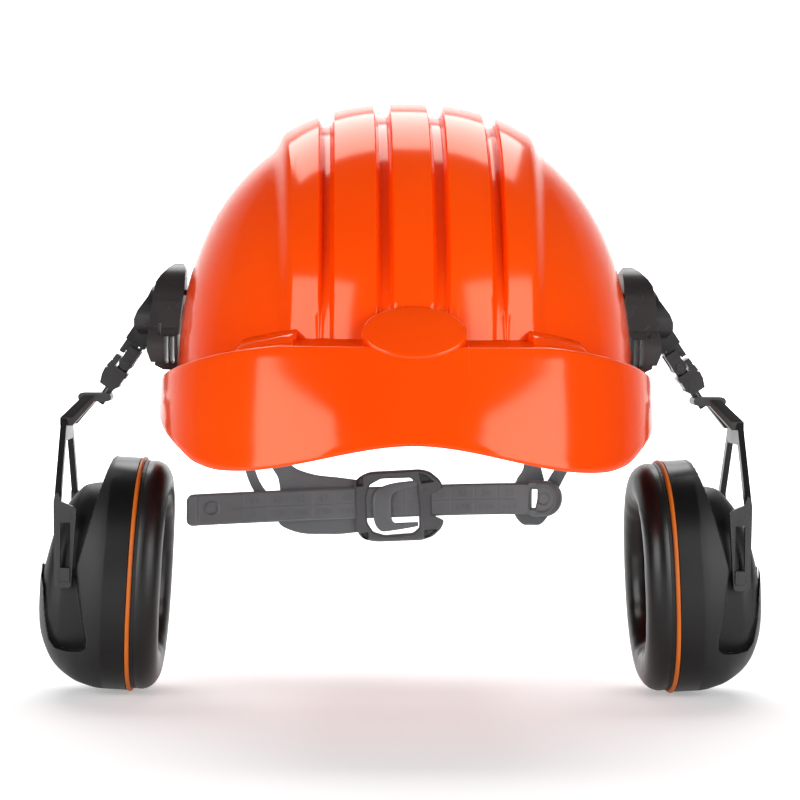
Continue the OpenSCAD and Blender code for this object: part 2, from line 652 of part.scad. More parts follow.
// Coloured trim ring between the cup and the cushion
module ring() {
    color("darkorange") cup_washer(-2, 0, cup_half_w + 0.4, cup_half_h + 0.4, cup_half_w - 5, cup_half_h - 5);
}

// Stiff plate that the cushion is welded to
module plate() {
    color("black") cup_washer(-3.6, -2, cup_half_w - 1, cup_half_h - 1, cup_half_w - 15, cup_half_h - 17);
}

// Cushion: a plump ring round the ear
cushion_stations = 48;
function cushion_profile(a) = let (
        outer = [cup_half_w * spow(cos(a), 2 / squareness), cup_half_h * spow(sin(a), 2 / squareness)],
        inner = [(cup_half_w - 19) * spow(cos(a), 2 / squareness), (cup_half_h - 21) * spow(sin(a), 2 / squareness)])
    [for (q = [[0, 0.02], [0.35, 0], [0.7, 0.06], [0.92, 0.24], [1, 0.5], [0.92, 0.76], [0.7, 0.95], [0.35, 1], [0, 0.98]])
        let (p = outer + (inner - outer) * q[1]) [-3.6 - cushion_t * q[0], p[0], p[1]]];

module cushion() {
    color([0.12, 0.12, 0.13]) cup_frame()
        polyhedron([for (k = [0 : cushion_stations - 1], p = cushion_profile(-360 * k / cushion_stations)) p],
            loop_faces(cushion_stations, 9), convexity = 6);
}

module left_adaptor() { on_left() adaptor(); }
module left_lock_tab() { on_left() lock_tab(); }
module left_swivel() { on_left() swivel(); }
module left_arm() { on_left() arm(); }
module left_knuckle_pin() { on_left() knuckle_pin(); }
module left_link() { on_left() link(); }
module left_stem() { on_left() stem(); }
module left_fork() { on_left() fork(); }
module left_pegs() { on_left() pegs(); }
module left_cup() { on_left() cup(); }
module left_foam() { on_left() foam(); }
module left_plate() { on_left() plate(); }
module left_ring() { on_left() ring(); }
module left_cushion() { on_left() cushion(); }

module right_adaptor() { on_right() adaptor(); }
module right_lock_tab() { on_right() lock_tab(); }
module right_swivel() { on_right() swivel(); }
module right_arm() { on_right() arm(); }
module right_knuckle_pin() { on_right() knuckle_pin(); }
module right_link() { on_right() link(); }
module right_stem() { on_right() stem(); }
module right_fork() { on_right() fork(); }
module right_pegs() { on_right() pegs(); }
module right_cup() { on_right() cup(); }
module right_foam() { on_right() foam(); }
module right_plate() { on_right() plate(); }
module right_ring() { on_right() ring(); }
module right_cushion() { on_right() cushion(); }

shell();
headband();
sweatband();
cradle_strap_a();
cradle_strap_b();
harness_clips();
nape_strap();
nape_buckle();
buckle_tongue();
nape_arm_right();
nape_arm_left();
nape_knuckle();
nape_studs();
left_adaptor();
left_lock_tab();
left_swivel();
left_arm();
left_knuckle_pin();
left_link();
left_stem();
left_fork();
left_pegs();
left_cup();
left_foam();
left_plate();
left_ring();
left_cushion();
right_adaptor();
right_lock_tab();
right_swivel();
right_arm();
right_knuckle_pin();
right_link();
right_stem();
right_fork();
right_pegs();
right_cup();
right_foam();
right_plate();
right_ring();
right_cushion();
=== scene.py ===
"""Looks for the safety helmet with hinged earmuffs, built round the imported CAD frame. Lengths in the code are in mm."""

import math

import bmesh
import bpy
import numpy as np
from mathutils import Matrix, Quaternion, Vector


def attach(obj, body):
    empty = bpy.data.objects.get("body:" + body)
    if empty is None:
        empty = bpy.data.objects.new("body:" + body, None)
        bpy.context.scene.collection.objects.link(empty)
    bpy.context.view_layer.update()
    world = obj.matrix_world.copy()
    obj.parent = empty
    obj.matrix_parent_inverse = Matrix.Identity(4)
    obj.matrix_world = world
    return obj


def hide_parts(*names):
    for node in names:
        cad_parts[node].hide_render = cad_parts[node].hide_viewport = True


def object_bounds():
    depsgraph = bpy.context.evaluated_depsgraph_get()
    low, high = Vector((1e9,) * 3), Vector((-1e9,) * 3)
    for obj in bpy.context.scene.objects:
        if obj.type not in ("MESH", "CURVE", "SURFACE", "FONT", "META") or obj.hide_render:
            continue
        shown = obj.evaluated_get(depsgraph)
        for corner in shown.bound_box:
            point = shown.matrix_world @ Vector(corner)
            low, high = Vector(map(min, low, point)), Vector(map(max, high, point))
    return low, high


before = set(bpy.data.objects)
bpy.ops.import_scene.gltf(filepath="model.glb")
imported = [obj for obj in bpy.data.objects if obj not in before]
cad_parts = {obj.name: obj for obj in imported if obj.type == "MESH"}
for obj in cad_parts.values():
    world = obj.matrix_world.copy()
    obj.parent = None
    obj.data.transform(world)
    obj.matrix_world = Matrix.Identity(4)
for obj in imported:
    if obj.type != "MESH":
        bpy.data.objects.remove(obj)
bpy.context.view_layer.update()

MM = 0.001
N = 2.3  # exponent of the superellipses shared with the CAD


# --- small maths ---------------------------------------------------------------------------


def spow(v, e):
    return np.sign(v) * np.abs(v) ** e


def ease(f):
    c = np.clip(f, 0.0, 1.0)
    return c * c * (3 - 2 * c)


def keep(f):
    return np.maximum(0.0, 1 - np.minimum(1.0, np.abs(f)) ** N) ** (1 / N)


def oval(a, half_w, front, back, n=N):
    """Superellipse with its own reach to the front and to the back."""
    return np.stack([half_w * spow(np.cos(a), 2 / n), np.where(np.sin(a) < 0, front, back) * spow(np.sin(a), 2 / n)], -1)


def even_angles(count, *shape, samples=4001):
    """Angles at even steps along an oval's outline."""
    fine = np.linspace(0, 2 * math.pi, samples)
    s = np.concatenate([[0], np.cumsum(np.linalg.norm(np.diff(oval(fine, *shape), axis=0), axis=1))])
    return np.interp(np.linspace(0, s[-1], count + 1)[:-1], s, fine)


def smooth_table(xs, ys):
    """A smooth curve through a table, monotone between its points (Fritsch-Carlson)."""
    xs, ys = np.array(xs, float), np.array(ys, float)
    d = np.diff(ys) / np.diff(xs)
    m = np.zeros_like(xs)
    m[0], m[-1] = d[0], d[-1]
    for i in range(1, len(xs) - 1):
        m[i] = 0.0 if d[i - 1] * d[i] <= 0 else 2 * d[i - 1] * d[i] / (d[i - 1] + d[i])

    def f(x):
        x = np.clip(x, xs[0], xs[-1])
        i = np.clip(np.searchsorted(xs, x) - 1, 0, len(xs) - 2)
        h = xs[i + 1] - xs[i]
        t = (x - xs[i]) / h
        return (
            (2 * t**3 - 3 * t**2 + 1) * ys[i]
            + (t**3 - 2 * t**2 + t) * h * m[i]
            + (-2 * t**3 + 3 * t**2) * ys[i + 1]
            + (t**3 - t**2) * h * m[i + 1]
        )

    return f


# --- mesh helpers --------------------------------------------------------------------------


def new_object(name, verts, faces, sharp=35):
    """Mesh object from points in mm. Edges steeper than sharp degrees stay crisp."""
    mesh = bpy.data.meshes.new(name)
    mesh.from_pydata([tuple(p) for p in np.asarray(verts, float) * MM], [], faces)
    mesh.validate()
    bm = bmesh.new()
    bm.from_mesh(mesh)
    bmesh.ops.remove_doubles(bm, verts=bm.verts, dist=1e-6)
    bmesh.ops.dissolve_degenerate(bm, dist=1e-7, edges=bm.edges)
    bmesh.ops.recalc_face_normals(bm, faces=bm.faces)
    bm.to_mesh(mesh)
    bm.free()
    mesh.shade_smooth()
    mesh.set_sharp_from_angle(angle=math.radians(sharp))
    obj = bpy.data.objects.new(name, mesh)
    bpy.context.scene.collection.objects.link(obj)
    return obj


def grid_faces(rows, cols, wrap_rows=False, wrap_cols=False, start=0):
    out = []
    for r in range(rows if wrap_rows else rows - 1):
        for c in range(cols if wrap_cols else cols - 1):
            a, b = r % rows, (r + 1) % rows
            d = (c + 1) % cols
            out.append([start + a * cols + c, start + a * cols + d, start + b * cols + d, start + b * cols + c])
    return out


def loop_object(name, rings, sharp=35):
    """Closed tube whose rings also close on each other, such as a tyre."""
    rings = np.asarray(rings, float)
    return new_object(name, rings.reshape(-1, 3), grid_faces(len(rings), len(rings[0]), True, True), sharp)


def tube_data(rings):
    """Tube through the rings, with both ends capped."""
    rings = np.asarray(rings, float)
    m, n = rings.shape[:2]
    caps = [[k for k in range(n - 1, -1, -1)], [(m - 1) * n + k for k in range(n)]]
    return list(rings.reshape(-1, 3)), grid_faces(m, n, False, True) + caps


def walled_data(outer, inner):
    """Two matching sheets of points, closed round their shared rim."""
    m, n = outer.shape[:2]
    back = m * n
    faces = grid_faces(m, n) + [f[::-1] for f in grid_faces(m, n, start=back)]
    rim = [(r, 0) for r in range(m)] + [(m - 1, c) for c in range(1, n)]
    rim += [(r, n - 1) for r in range(m - 2, -1, -1)] + [(0, c) for c in range(n - 2, 0, -1)]
    rim = [r * n + c for r, c in rim]
    for i, j in zip(rim, rim[1:] + rim[:1]):
        faces.append([i, j, back + j, back + i])
    return list(outer.reshape(-1, 3)) + list(inner.reshape(-1, 3)), faces


def join_data(parts):
    verts, faces = [], []
    for v, f in parts:
        faces += [[i + len(verts) for i in face] for face in f]
        verts += list(v)
    return verts, faces


def mirrored(obj, name):
    """The same piece for the wearer's other side."""
    mesh = obj.data.copy()
    mesh.name = name
    bm = bmesh.new()
    bm.from_mesh(mesh)
    for v in bm.verts:
        v.co.x = -v.co.x
    bmesh.ops.reverse_faces(bm, faces=bm.faces)
    bm.to_mesh(mesh)
    bm.free()
    out = bpy.data.objects.new(name, mesh)
    bpy.context.scene.collection.objects.link(out)
    return out


def bevel(obj, width):
    m = obj.modifiers.new("bevel", "BEVEL")
    m.width = width * MM
    m.segments = 3
    m.limit_method = "ANGLE"
    m.angle_limit = math.radians(32)
    m.harden_normals = False


# --- materials -----------------------------------------------------------------------------


def nodes_of(name):
    mat = bpy.data.materials.new(name)
    mat.use_nodes = True
    tree = mat.node_tree
    return mat, tree, tree.nodes["Principled BSDF"]


def link(tree, a, out, b, inp):
    tree.links.new(a.outputs[out], b.inputs[inp])


def noise(tree, coords, scale, detail=3.0):
    n = tree.nodes.new("ShaderNodeTexNoise")
    n.inputs["Scale"].default_value = scale
    n.inputs["Detail"].default_value = detail
    link(tree, coords, "Object", n, "Vector")
    return n


def remap(tree, src, out, lo, hi, a=0.3, b=0.7):
    m = tree.nodes.new("ShaderNodeMapRange")
    m.inputs["From Min"].default_value = a
    m.inputs["From Max"].default_value = b
    m.inputs["To Min"].default_value = lo
    m.inputs["To Max"].default_value = hi
    link(tree, src, out, m, "Value")
    return m


def two_tone(tree, factor, out, dark, light):
    mix = tree.nodes.new("ShaderNodeMix")
    mix.data_type = "RGBA"
    mix.inputs["A"].default_value = (*dark, 1)
    mix.inputs["B"].default_value = (*light, 1)
    link(tree, factor, out, mix, "Factor")
    return mix


def maths(tree, operation, *inputs):
    """Math node fed by (node, output) pairs."""
    m = tree.nodes.new("ShaderNodeMath")
    m.operation = operation
    for i, (node, out) in enumerate(inputs):
        link(tree, node, out, m, i)
    return m


def bump(tree, shader, height, out, strength, depth):
    b = tree.nodes.new("ShaderNodeBump")
    b.inputs["Strength"].default_value = strength
    b.inputs["Distance"].default_value = depth * MM
    link(tree, height, out, b, "Height")
    link(tree, b, "Normal", shader, "Normal")
    return b


def moulded(name, dark, light, rough, grain, depth, blotch=35.0, wear=None, rough_spread=0.06, detail=2.0, shine=0.5):
    """Moulded plastic: fine surface grain, slow changes of tone and gloss, and pale rubbed edges if wear is given."""
    mat, tree, p = nodes_of(name)
    c = tree.nodes.new("ShaderNodeTexCoord")
    slow = noise(tree, c, blotch)
    fine = noise(tree, c, grain, detail)
    tone = remap(tree, slow, "Fac", 0, 1)
    colour = two_tone(tree, tone, "Result", dark, light)
    if wear:
        g = tree.nodes.new("ShaderNodeNewGeometry")
        edge = remap(tree, g, "Pointiness", 0, wear[1], 0.52, 0.6)
        rubbed = two_tone(tree, edge, "Result", dark, wear[0])
        link(tree, colour, "Result", rubbed, "A")
        colour = rubbed
    link(tree, colour, "Result", p, "Base Color")
    link(tree, remap(tree, slow, "Fac", rough - rough_spread, rough + rough_spread), "Result", p, "Roughness")
    p.inputs["Specular IOR Level"].default_value = shine
    bump(tree, p, fine, "Fac", 0.6, depth)
    return mat


def glossy_shell():
    """High-visibility moulded shell: smooth and glossy, a slight orange peel and faint hairline scuffs."""
    mat, tree, p = nodes_of("shell_orange")
    c = tree.nodes.new("ShaderNodeTexCoord")
    slow = noise(tree, c, 9.0, 2.0)
    peel = noise(tree, c, 420.0, 2.0)
    streak_at = tree.nodes.new("ShaderNodeMapping")
    streak_at.inputs["Rotation"].default_value = (0.3, 0.9, 0.5)
    streak_at.inputs["Scale"].default_value = (900.0, 14.0, 60.0)
    link(tree, c, "Object", streak_at, "Vector")
    streak = tree.nodes.new("ShaderNodeTexNoise")
    streak.inputs["Scale"].default_value = 1.0
    streak.inputs["Detail"].default_value = 2.0
    link(tree, streak_at, "Vector", streak, "Vector")
    mix = two_tone(tree, remap(tree, slow, "Fac", 0, 1), "Result", (0.93, 0.06, 0.0003), (1.0, 0.078, 0.0006))
    link(tree, mix, "Result", p, "Base Color")
    scuff = remap(tree, streak, "Fac", 0.0, 0.16, 0.66, 0.78)
    base = remap(tree, slow, "Fac", 0.11, 0.16)
    link(tree, maths(tree, "ADD", (scuff, "Result"), (base, "Result")), "Value", p, "Roughness")
    p.inputs["IOR"].default_value = 1.52
    p.inputs["Specular Tint"].default_value = (1.0, 0.82, 0.6, 1.0)
    bump(tree, p, peel, "Fac", 0.35, 0.012)
    return mat


def cup_skin():
    """Cup plastic: fine spark-eroded grain on the outer faces, and a smooth dark band next to the trim ring."""
    mat, tree, p = nodes_of("cup_black")
    c = tree.nodes.new("ShaderNodeTexCoord")
    grain = noise(tree, c, 2600.0, 2.0)
    slow = noise(tree, c, 40.0)
    p.inputs["Specular IOR Level"].default_value = 0.45
    band = tree.nodes.new("ShaderNodeAttribute")
    band.attribute_name = "band"
    mix = two_tone(tree, band, "Fac", (0.0075, 0.0075, 0.0078), (0.003, 0.003, 0.0032))
    link(tree, mix, "Result", p, "Base Color")
    r = remap(tree, band, "Fac", 0.47, 0.3, 0, 1)
    spread = remap(tree, slow, "Fac", -0.03, 0.04)
    link(tree, maths(tree, "ADD", (r, "Result"), (spread, "Result")), "Value", p, "Roughness")
    relief = bump(tree, p, grain, "Fac", 0.75, 0.05)
    link(tree, remap(tree, band, "Fac", 0.75, 0.08, 0, 1), "Result", relief, "Strength")
    return mat


def woven(name, dark, light, pitch):
    """Plain weave from two crossing waves, with a soft sheen and painted shade that darkens the hollows between the
    threads.
    """
    mat, tree, p = nodes_of(name)
    c = tree.nodes.new("ShaderNodeTexCoord")
    waves = []
    for direction in ("X", "Y", "Z"):
        w = tree.nodes.new("ShaderNodeTexWave")
        w.bands_direction = direction
        w.inputs["Scale"].default_value = 1 / (pitch * MM) / 3.18
        w.inputs["Distortion"].default_value = 0.6
        w.inputs["Detail"].default_value = 1.0
        link(tree, c, "Object", w, "Vector")
        waves.append(w)
    crossed = maths(tree, "MULTIPLY", (waves[0], "Fac"), (waves[1], "Fac"))
    total = maths(tree, "MAXIMUM", (crossed, "Value"), (waves[2], "Fac"))
    # painted shade: the colour follows the weave's height, dark in the hollows and light on the raised threads
    link(tree, two_tone(tree, total, "Value", dark, light), "Result", p, "Base Color")
    link(tree, remap(tree, total, "Value", 0.92, 0.78, 0, 1), "Result", p, "Roughness")
    p.inputs["Sheen Weight"].default_value = 0.25
    bump(tree, p, total, "Value", 0.7, 0.2)
    return mat


def foam_skin(name, dark, light, cell):
    """Open-cell foam: rounded pits of the cell size, with painted shade that darkens each pit."""
    mat, tree, p = nodes_of(name)
    c = tree.nodes.new("ShaderNodeTexCoord")
    v = tree.nodes.new("ShaderNodeTexVoronoi")
    v.inputs["Scale"].default_value = 1 / (cell * MM)
    link(tree, c, "Object", v, "Vector")
    # painted shade: the colour darkens towards each pit's centre, following the bump's pits
    link(tree, two_tone(tree, v, "Distance", dark, light), "Result", p, "Base Color")
    link(tree, remap(tree, v, "Distance", 0.98, 0.85, 0, 1), "Result", p, "Roughness")
    bump(tree, p, v, "Distance", 0.8, 0.4)
    return mat


def steel():
    mat, tree, p = nodes_of("pin_steel")
    c = tree.nodes.new("ShaderNodeTexCoord")
    turned = tree.nodes.new("ShaderNodeTexWave")
    turned.bands_direction = "Y"
    turned.inputs["Scale"].default_value = 900.0
    turned.inputs["Distortion"].default_value = 3.0
    link(tree, c, "Object", turned, "Vector")
    link(tree, two_tone(tree, turned, "Fac", (0.035, 0.035, 0.037), (0.07, 0.07, 0.073)), "Result", p, "Base Color")
    link(tree, remap(tree, turned, "Fac", 0.25, 0.4, 0, 1), "Result", p, "Roughness")
    p.inputs["Metallic"].default_value = 1.0
    return mat


M = {
    "shell_plastic": glossy_shell(),
    "harness_plastic": moulded("harness_black", (0.022, 0.022, 0.023), (0.032, 0.032, 0.033), 0.42, 1800, 0.03,
                               wear=((0.07, 0.07, 0.07), 0.5)),
    "strap_plastic": moulded("strap_grey", (0.135, 0.156, 0.166), (0.155, 0.177, 0.188), 0.4, 1500, 0.03,
                             wear=((0.12, 0.12, 0.12), 0.5)),
    "buckle_plastic": moulded("buckle_grey", (0.088, 0.1, 0.107), (0.104, 0.117, 0.124), 0.36, 1600, 0.03,
                              wear=((0.1, 0.1, 0.1), 0.5)),
    "arm_plastic": moulded("arm_black", (0.004, 0.004, 0.0044), (0.0065, 0.0065, 0.007), 0.3, 1700, 0.035,
                           wear=((0.05, 0.05, 0.052), 0.5), shine=0.55),
    "cup_plastic": cup_skin(),
    "ring_plastic": moulded("ring_orange", (0.56, 0.125, 0.008), (0.64, 0.15, 0.011), 0.45, 900, 0.02, shine=0.4),
    "cushion_skin": moulded("cushion_black", (0.003, 0.003, 0.0032), (0.0048, 0.0048, 0.005), 0.33, 700, 0.06,
                            blotch=18, detail=4.0, rough_spread=0.05, shine=0.5),
    "sweat_foam": woven("sweat_cloth", (0.012, 0.012, 0.013), (0.04, 0.04, 0.042), 1.1),
    "webbing": woven("webbing_black", (0.01, 0.01, 0.011), (0.045, 0.045, 0.048), 1.3),
    "liner_foam": foam_skin("liner_foam", (0.01, 0.01, 0.01), (0.035, 0.035, 0.036), 0.9),
    "pin_steel": steel(),
}


def finish_piece(obj, body, slot, *nodes):
    obj.data.materials.clear()
    obj.data.materials.append(M[slot])
    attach(obj, body)
    if nodes:
        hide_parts(*nodes)


def both(left, base, body, slot, *nodes):
    """Places a left-hand piece and its mirror image, and hides the CAD nodes that they stand for."""
    right = mirrored(left, "right_" + base)
    for obj, side in ((left, "left_"), (right, "right_")):
        finish_piece(obj, side + body if body != "helmet" else body, slot, *[side + n for n in nodes])
    return left, right


# --- shell ---------------------------------------------------------------------------------

W, F, B, H, FOOT = 102.0, 116.0, 122.0, 120.5, -4.0
WALL = 2.6
RIB = 5.5
EYE = 1200.0  # the outer edges lean towards a far point this far in front
EDGES = (8.9, 14.5, 33.6, 38.6)
OUTER_EDGE = (55.0, 61.4)
BLEND = 1.9


def rib_at(u):
    u = np.abs(u)
    e = EDGES
    return (
        1 - ease((u - e[0]) / BLEND + 0.5) + ease((u - e[1]) / BLEND + 0.5)
        - ease((u - e[2]) / BLEND + 0.5) + ease((u - e[3]) / BLEND + 0.5)
        - ease((u - OUTER_EDGE[0]) / (OUTER_EDGE[1] - OUTER_EDGE[0]))
    )


def ledge_z(y):
    return -1.5 + 16.5 * np.clip((-y - 20) / 101, 0, 1) ** 1.6


def dome_grid(inset):
    """Lengthwise rows over the dome, from the front foot to the back foot."""
    us = [0.0]
    marks = [e + s * BLEND * 0.5 for e in EDGES for s in (-1, -0.5, 0, 0.5, 1)] + list(np.linspace(*OUTER_EDGE, 7))
    fill = list(np.arange(2.0, 66.0, 2.0))
    us += [v for v in fill if min(abs(v - m) for m in marks) > 0.8] + marks
    us += list(W * np.sin(np.radians(np.linspace(40.5, 89.6, 42))))
    us = sorted(set(round(v, 4) for v in us))
    us = [-v for v in us[:0:-1]] + us
    w, f, b, h = W - inset, F - inset, B - inset, H - inset
    steps = 150
    rows = []
    for u in us:
        t = np.linspace(0, math.pi, steps + 1)
        x = np.full_like(t, u * w / W)
        y = np.zeros_like(t)
        for _ in range(12):
            k = keep(x / w)
            y = -np.where(t < math.pi / 2, f, b) * k * np.cos(t)
            x = u * w / W * (1 + np.minimum(0, y) / EYE * ease((abs(u) - 40) / 14) * ease((98 - abs(u)) / 32))
        z = h * k * np.sin(t)
        n = np.stack([y / np.where(t < math.pi / 2, f, b) ** 2, z / h**2], -1)
        n /= np.maximum(1e-9, np.linalg.norm(n, axis=1))[:, None]
        front = t < math.pi / 2
        fade = np.where(front, 0.25 + 0.75 * ease((z - 20) / 42), ease((z - 2) / 22))
        lift = RIB * rib_at(u) * fade
        rows.append(np.stack([x, y + n[:, 0] * lift, FOOT + z + n[:, 1] * lift], -1))
    return np.array(rows)


HEM = smooth_table([-132, -118, -104, -88, -60, -34, -4, 20, 60, 130], [-36.5, -36.5, -34.5, -29, -22, -16, -9, -8, -8, -8])


def hem_z(y, x):
    centre = -36.5 + 11.8 * ease((78 - np.abs(x)) / 78)
    side = HEM(y)
    mix = ease((-y - 112) / 12)
    return side * (1 - mix) + centre * mix


SHELF, PEAK, BRIM = 129.0, 142.0, 131.0
SKIRT_W, SKIRT_N = 110.0, 2.75


def skirt_data():
    """Ledge, peak and skirt: one rounded section carried round the shell."""
    steps = 560
    a = even_angles(steps, SKIRT_W, PEAK, BRIM, SKIRT_N, samples=6001)
    root, low = oval(a, W - 1.5, F - 1.5, B - 1.5), oval(a, SKIRT_W, PEAK, BRIM, SKIRT_N)
    top = oval(a, SKIRT_W - 0.7, SHELF, BRIM - 4, SKIRT_N)
    out = low / np.linalg.norm(low, axis=1)[:, None]
    zt = ledge_z(top[:, 1])
    zb = hem_z(low[:, 1], low[:, 0])
    rings = []

    def add(xy, z):
        rings.append(np.concatenate([xy, np.broadcast_to(z, (len(xy),))[:, None]], axis=1))

    r = 1.5
    slope = 3.4 * ease((-top[:, 1] - 20) / 90) - 0.6
    add(root, zt + slope)
    add(root * 0.4 + top * 0.6 - out * r, zt + slope * 0.4)
    for q in np.linspace(0, 70, 7):
        add(top - out * (r - r * math.sin(math.radians(q))), zt - r * (1 - math.cos(math.radians(q))))
    for q in np.linspace(0.08, 0.92, 8):
        bow = 1.6 * math.sin(math.pi * q)
        flare = ease((-low[:, 1] - 60) / 70)[:, None]
        xy = top + (low - top) * q + out * bow * flare * 0.6
        add(xy, zt - r + (zb + 1.0 - zt + r) * q)
    for q in np.linspace(0, 180, 9):
        e = WALL / 2
        add(low - out * (e - e * math.cos(math.radians(q))), zb + e * (1 - math.sin(math.radians(q))))
    for q in np.linspace(0.1, 1, 7):
        inner_top = top - out * WALL
        inner_low = low - out * WALL
        add(inner_low + (inner_top - inner_low) * q, zb + WALL / 2 + (zt - 4 - zb - WALL / 2) * q)
    add(root, zt - 4.2)
    rings = np.array(rings).transpose(1, 0, 2)
    return list(rings.reshape(-1, 3)), grid_faces(steps, rings.shape[1], True, True)


def boss_data():
    """Blank oval boss: upright wall, small round-over and a gently crowned face."""
    c, s = math.cos(math.radians(48)), math.sin(math.radians(48))
    rings = []
    a = np.linspace(0, 2 * math.pi, 97)[:-1]
    profile = [(21.5, 14.0, -13.0), (21.5, 14.0, -1.6)]
    profile += [(21.5 - 1.5 * (1 - math.cos(q)), 14.0 - 1.5 * (1 - math.cos(q)), -1.6 + 1.5 * math.sin(q))
                for q in np.linspace(0.2, 1.35, 6)]
    profile += [(19.2 * k, 11.7 * k, z) for k, z in [(1, -0.12), (0.8, 0.08), (0.5, 0.2), (0.2, 0.26)]]
    for rx, ry, z in profile:
        x, y = rx * np.cos(a), ry * np.sin(a)
        zz = np.full_like(a, z + 0.15)
        rings.append(np.stack([x, -124.0 + y * c - zz * s, 21.5 + y * s + zz * c], -1))
    return tube_data(rings)


def hull_data(points, width, segments=4):
    """Convex block round the given points, with rounded edges."""
    mesh = bpy.data.meshes.new("hull")
    bm = bmesh.new()
    for p in points:
        bm.verts.new(p)
    bmesh.ops.convex_hull(bm, input=bm.verts)
    bmesh.ops.dissolve_limit(bm, angle_limit=math.radians(4), verts=bm.verts, edges=bm.edges)
    bmesh.ops.bevel(bm, geom=[e for e in bm.edges], offset=width, segments=segments, profile=0.5, affect="EDGES")
    bm.verts.index_update()
    verts = [tuple(v.co) for v in bm.verts]
    faces = [[v.index for v in f.verts] for f in bm.faces]
    bm.free()
    bpy.data.meshes.remove(mesh)
    return verts, faces


def block_data(s):
    """Raised wedge on the ledge beside the bands."""
    pts = [(46.5, -101, 8), (50, -119, 8), (47, -102.5, 22.5), (49.5, -114.5, 19.5),
           (70.5, -89.5, 5), (75, -103, 4), (70, -90.5, 17.5), (72, -100, 14.0), (81, -84, 3), (83, -93, 2), (80, -86, 7)]
    return hull_data([(s * x, y, z) for x, y, z in pts], 1.3)


verts, faces = join_data([walled_data(dome_grid(0), dome_grid(WALL)), skirt_data(), boss_data(), block_data(1), block_data(-1)])
shell = new_object("shell_moulding", verts, faces, sharp=38)
finish_piece(shell, "helmet", "shell_plastic", "shell")


# --- earmuff cups --------------------------------------------------------------------------

MUFF_Y, HEAD_X = 8.0, 140.0
TOE, LEAN = math.radians(2.0), math.radians(3.0)
RING_X, RING_Z = 121.4, -92.7
HALF_H, HALF_W, CUP_WALL = 53.0, 41.0, 2.4
# the cup's outline at distances from its rim, as parts of its half sizes: top, bottom, width
OUTER = (
    smooth_table([0, 12, 22, 30, 35, 38.5, 41.5, 43.2], [1, 1, 0.97, 0.88, 0.76, 0.59, 0.34, 0.1]),
    smooth_table([0, 12, 22, 30, 35, 38.5, 41.5, 43.2], [-1, -1, -0.962, -0.88, -0.79, -0.68, -0.54, -0.38]),
    smooth_table([0, 10, 22, 30, 35, 38.5, 41.5, 43.2], [1, 1, 0.95, 0.87, 0.76, 0.59, 0.34, 0.06]),
)
CORE = (
    smooth_table([0, 16, 24, 31, 36, 40, 43.2], [0.77, 0.77, 0.745, 0.61, 0.42, 0.12, -0.25]),
    smooth_table([0, 16, 24, 31, 36, 40, 43.2], [-0.98, -0.98, -0.945, -0.84, -0.72, -0.56, -0.36]),
    smooth_table([0, 30, 35, 38.5, 41.5, 43.2], [0.68, 0.68, 0.64, 0.53, 0.32, 0.05]),
)


def cup_frame(p):
    """From the cup's own frame (+X out of the cup) to the row frame, wearer's left."""
    p = np.asarray(p, float)
    x, y, z = p[..., 0], p[..., 1], p[..., 2]
    c, s = math.cos(LEAN), math.sin(LEAN)
    x, z = x * c - z * s + RING_X - HEAD_X, x * s + z * c + RING_Z
    c, s = math.cos(TOE), math.sin(TOE)
    return np.stack([HEAD_X + x * c - y * s, MUFF_Y + x * s + y * c, z], -1)


def inside(x, z, outline):
    """Signed distance to a closed outline in the side plane, positive inside."""
    pts = np.asarray(outline, float)
    best = np.full(x.shape, 1e9)
    odd = np.zeros(x.shape, bool)
    for (x0, z0), (x1, z1) in zip(pts, np.roll(pts, -1, axis=0)):
        dx, dz = x1 - x0, z1 - z0
        t = np.clip(((x - x0) * dx + (z - z0) * dz) / (dx * dx + dz * dz), 0, 1)
        best = np.minimum(best, np.hypot(x - x0 - t * dx, z - z0 - t * dz))
        cross = (z0 > z) != (z1 > z)
        with np.errstate(divide="ignore", invalid="ignore"):
            odd ^= cross & (x < dx * (z - z0) / (dz if dz else 1e-9) + x0)
    return np.where(odd, best, -best)


# where the fork's feet slide down the cup, seen from its side: (distance from the rim, height)
RECESS = [
    (11.4, 60), (23, 6), (18.8, -18), (17.3, -27), (17.7, -30.5), (20, -32.4), (26, -33),
    (32, -32.4), (35, -29), (37.4, -18), (39, -5), (50, 20), (50, 70), (11.4, 70),
]


def cup_points(ts, a, wall, form):
    """Cup section rings at distances ts from the rim, at angles a."""
    t, ang = np.meshgrid(ts, a, indexing="ij")
    hi, lo, wide = HALF_H * form[0](t) - wall, HALF_H * form[1](t) + wall, HALF_W * form[2](t) - wall
    y = wide * spow(np.cos(ang), 2 / N)
    z = (hi + lo) / 2 + (hi - lo) / 2 * spow(np.sin(ang), 2 / N)
    return np.stack([t, y, z], -1)


def stepped(ts, a, wall, grow, soft):
    """Cup surface, stepped in to the core where the fork's feet move."""
    body, core = cup_points(ts, a, wall, OUTER), cup_points(ts, a, wall, CORE)
    d = inside(body[..., 0], body[..., 2], RECESS)
    f = ease((d + grow) / soft)[..., None]
    core[..., 1] = np.sign(core[..., 1]) * np.minimum(np.abs(core[..., 1]), np.abs(body[..., 1]))
    return body * (1 - f) + core * f


